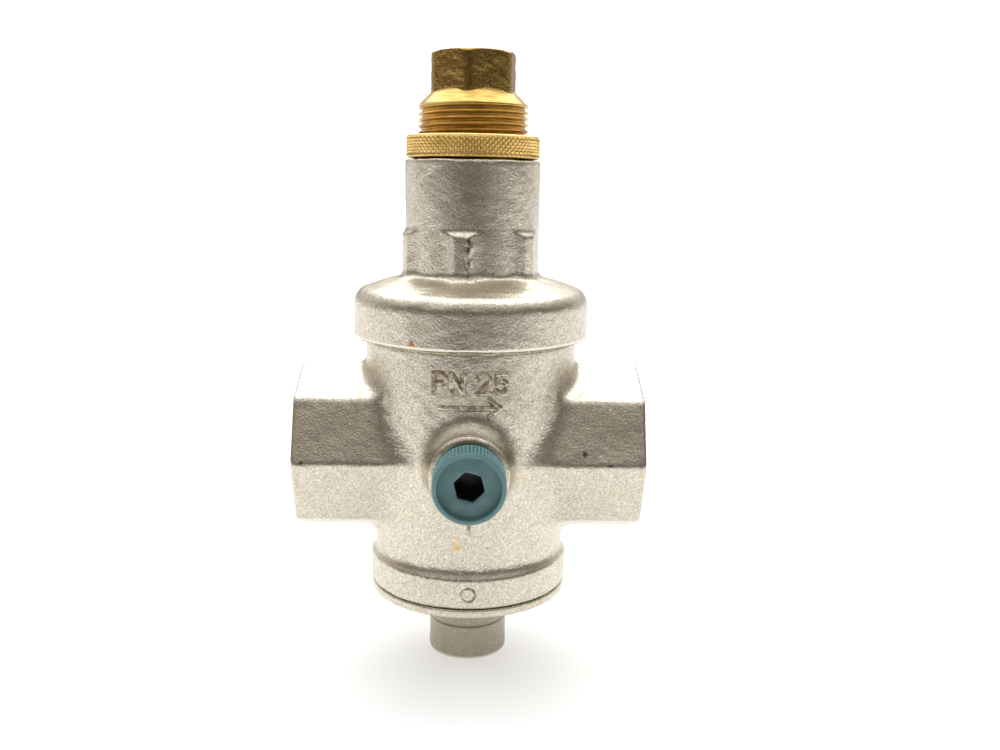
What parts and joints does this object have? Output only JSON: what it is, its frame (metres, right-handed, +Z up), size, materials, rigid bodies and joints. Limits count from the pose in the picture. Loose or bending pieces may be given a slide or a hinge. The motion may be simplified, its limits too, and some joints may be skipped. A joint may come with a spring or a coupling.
{
  "type": "pressure reducing valve",
  "caption": "Diaphragm pressure reducing valve with threaded octagon ports, spring bonnet, hex adjusting screw, knurled lock ring and a plugged gauge port.",
  "frame": {"origin": "centre of the flat underside of the foot, on the valve's vertical axis", "axes": "+Z up the valve's axis towards the adjusting screw, +X along the ports in the direction of flow, -Y out of the gauge port"},
  "size_m": [0.088, 0.0707, 0.1572],
  "materials": {
    "nickel": "sand-blasted brass with a matt nickel plating",
    "brass": "machined brass",
    "stainless": "turned stainless steel",
    "spring_steel": "dark oiled spring wire",
    "rubber": "matt black rubber",
    "plug_plastic": "satin moulded plastic",
    "bush_plastic": "white acetal",
    "washer_plastic": "black fibre washer"
  },
  "bodies": {
    "housing": {"valve_body": "nickel", "bonnet": "nickel", "bottom_cover": "nickel", "bottom_cover_oring": "rubber", "seat_ring": "stainless", "seat_oring": "rubber", "slip_ring": "brass", "diaphragm": "rubber", "guide_bush": "bush_plastic", "main_spring": "spring_steel"},
    "valve_train": {"stem": "brass", "valve_seal": "rubber", "seal_retainer": "brass", "piston_oring": "rubber", "diaphragm_lower_plate": "brass", "diaphragm_upper_plate": "brass", "diaphragm_nut": "stainless"},
    "spring_cap": {"spring_cap": "stainless"},
    "screw": {"adjusting_screw": "brass"},
    "lock_washer": {"lock_ring_washer": "washer_plastic"},
    "lock_ring": {"lock_ring": "brass"},
    "plug_seal": {"gauge_plug_oring": "rubber"},
    "plug": {"gauge_plug": "plug_plastic"}
  },
  "joints": [
    {"name": "stem_lift", "type": "slide", "parent": "housing", "child": "valve_train", "axis": [0, 0, 1], "range_m": [0, 0.003], "stiffness_N_per_m": 2000, "springref_m": -0.005, "deforming": ["diaphragm", "main_spring"]},
    {"name": "screw_advance", "type": "slide", "parent": "housing", "child": "spring_cap", "axis": [0, 0, 1], "range_m": [-0.006, 0.003]},
    {"name": "screw_turn", "type": "hinge", "parent": "spring_cap", "child": "screw", "pos_m": [0, 0, 0.14], "axis": [0, 0, 1], "range_deg": [-1440, 720]},
    {"name": "ring_lift", "type": "slide", "parent": "housing", "child": "lock_washer", "axis": [0, 0, 1], "range_m": [0, 0.00375]},
    {"name": "ring_turn", "type": "hinge", "parent": "lock_washer", "child": "lock_ring", "pos_m": [0, 0, 0.1345], "axis": [0, 0, 1], "range_deg": [0, 900]},
    {"name": "plug_out", "type": "slide", "parent": "housing", "child": "plug_seal", "axis": [0, -1, 0], "range_m": [0, 0.00936]},
    {"name": "plug_turn", "type": "hinge", "parent": "plug_seal", "child": "plug", "pos_m": [0, -0.0365, 0.0567], "axis": [0, -1, 0], "range_deg": [0, 2520]}
  ],
  "couplings": [
    {"joint": "screw_advance", "follows": "screw_turn", "m_per_rad": 0.00023873},
    {"joint": "ring_lift", "follows": "ring_turn", "m_per_rad": 0.00023873},
    {"joint": "plug_out", "follows": "plug_turn", "m_per_rad": 0.00021279}
  ]
}
